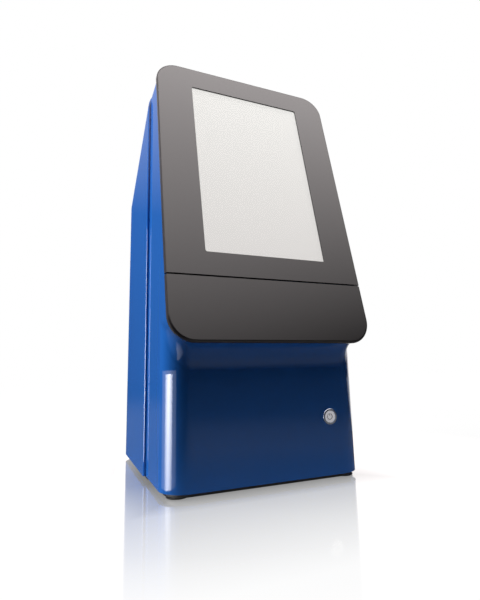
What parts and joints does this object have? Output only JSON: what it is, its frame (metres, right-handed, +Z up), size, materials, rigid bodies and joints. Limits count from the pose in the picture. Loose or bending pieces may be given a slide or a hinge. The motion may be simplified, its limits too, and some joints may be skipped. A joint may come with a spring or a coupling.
{
  "type": "benchtop chemistry analyzer",
  "caption": "Upright benchtop chemistry analyzer with a tilted touch screen panel, a motor driven disc drawer, a power button and a printer door in the sloping rear.",
  "frame": {"origin": "middle of the bounding box in plan, on the bench under the feet", "axes": "+X to the right of someone facing the screen, -Y towards them, +Z up"},
  "size_m": [0.15, 0.2026, 0.3224],
  "materials": {
    "shell_blue": "high gloss",
    "panel_dark": "high gloss",
    "cover_glass": "clear gloss",
    "display_white": "backlit",
    "base_black": "moulded, fine grain",
    "foot_rubber": "matte",
    "tray_black": "moulded, fine grain",
    "sheet_aluminium": "brushed",
    "block_aluminium": "black anodised",
    "motor_steel": "satin",
    "bright_steel": "polished",
    "screw_steel": "zinc plated",
    "bush_brass": "satin",
    "gear_nylon": "moulded",
    "hub_plastic": "moulded",
    "circuit_green": "solder mask",
    "chip_black": "moulded",
    "lamp_glass": "clear",
    "foam_grey": "open cell",
    "button_silver": "satin silver",
    "ring_silver": "satin chrome",
    "paper_white": "uncoated paper",
    "roller_rubber": "ground"
  },
  "bodies": {
    "root": {"front_housing": "shell_blue", "rear_housing": "shell_blue", "base_plate": "base_black", "rubber_feet": "foot_rubber", "base_screws": "screw_steel", "screen_bezel": "panel_dark", "touch_glass": "cover_glass", "display_module": "display_white", "display_bracket": "sheet_aluminium", "bracket_screws": "screw_steel", "drawer_rails": "sheet_aluminium", "drawer_motor": "motor_steel", "lower_deck": "sheet_aluminium", "upper_deck": "sheet_aluminium", "deck_posts": "motor_steel", "deck_screws": "screw_steel", "heater_plate": "sheet_aluminium", "photometer_block": "block_aluminium", "photodiode_board": "circuit_green", "photodiodes": "bright_steel", "lamp_housing": "block_aluminium", "flash_lamp": "lamp_glass", "condenser_lens": "lamp_glass", "barcode_reader": "tray_black", "main_board": "circuit_green", "board_standoffs": "bush_brass", "board_screws": "screw_steel", "heat_sink": "block_aluminium", "board_components": "chip_black", "usb_ports": "bright_steel", "network_port": "bright_steel", "power_jack": "chip_black", "speaker": "tray_black", "fan_frame": "base_black", "filter_foam": "foam_grey", "filter_grille": "base_black", "button_ring": "ring_silver", "button_switch": "chip_black", "button_board": "circuit_green", "printer_bucket": "tray_black", "door_hinge_pin": "bright_steel", "print_head": "block_aluminium"},
    "drawer": {"drawer_front": "panel_dark", "drawer_tray": "tray_black", "drawer_runners": "bright_steel", "drawer_rack": "gear_nylon", "spindle_motor": "motor_steel", "spindle_bearing": "bush_brass"},
    "spindle": {"spindle_shaft": "bright_steel", "spindle_hub": "hub_plastic"},
    "pinion": {"drawer_pinion": "gear_nylon", "motor_shaft": "bright_steel"},
    "button": {"power_button": "button_silver"},
    "printer_door": {"printer_door": "shell_blue", "tear_bar": "motor_steel"},
    "latch": {"printer_latch": "base_black"},
    "platen": {"platen_roller": "roller_rubber"},
    "paper": {"paper_roll": "paper_white"},
    "fan": {"fan_rotor": "base_black"}
  },
  "joints": [
    {"name": "drawer_slide", "type": "slide", "parent": "root", "child": "drawer", "axis": [0, -1, 0], "range_m": [0, 0.09744]},
    {"name": "spindle_spin", "type": "hinge", "parent": "drawer", "child": "spindle", "pos_m": [0, -0.042, 0.116], "axis": [0, 0, 1], "continuous": true},
    {"name": "pinion_spin", "type": "hinge", "parent": "root", "child": "pinion", "pos_m": [0.0352, -0.062, 0.113], "axis": [0, 0, 1], "range_deg": [-640, 10]},
    {"name": "power_button_press", "type": "slide", "parent": "root", "child": "button", "axis": [0, 1, 0], "range_m": [0, 0.0012], "stiffness_N_per_m": 900, "springref_m": -0.0006},
    {"name": "printer_door_hinge", "type": "hinge", "parent": "root", "child": "printer_door", "pos_m": [0, 0.07204, 0.2728], "axis": [-1, 0, 0], "range_deg": [0, 95]},
    {"name": "printer_latch_slide", "type": "slide", "parent": "printer_door", "child": "latch", "axis": [0, 0.8781, -0.4784], "range_m": [0, 0.0025], "stiffness_N_per_m": 600, "springref_m": -0.001},
    {"name": "platen_spin", "type": "hinge", "parent": "printer_door", "child": "platen", "pos_m": [0, 0.00793, 0.30204], "axis": [1, 0, 0], "continuous": true},
    {"name": "paper_roll_spin", "type": "hinge", "parent": "root", "child": "paper", "pos_m": [0, 0.03063, 0.26394], "axis": [1, 0, 0], "continuous": true},
    {"name": "fan_spin", "type": "hinge", "parent": "root", "child": "fan", "pos_m": [0, 0.0804, 0.1634], "axis": [0, 1, 0], "continuous": true}
  ],
  "couplings": [
    {"joint": "pinion_spin", "follows": "drawer_slide", "rad_per_m": -111.11}
  ]
}
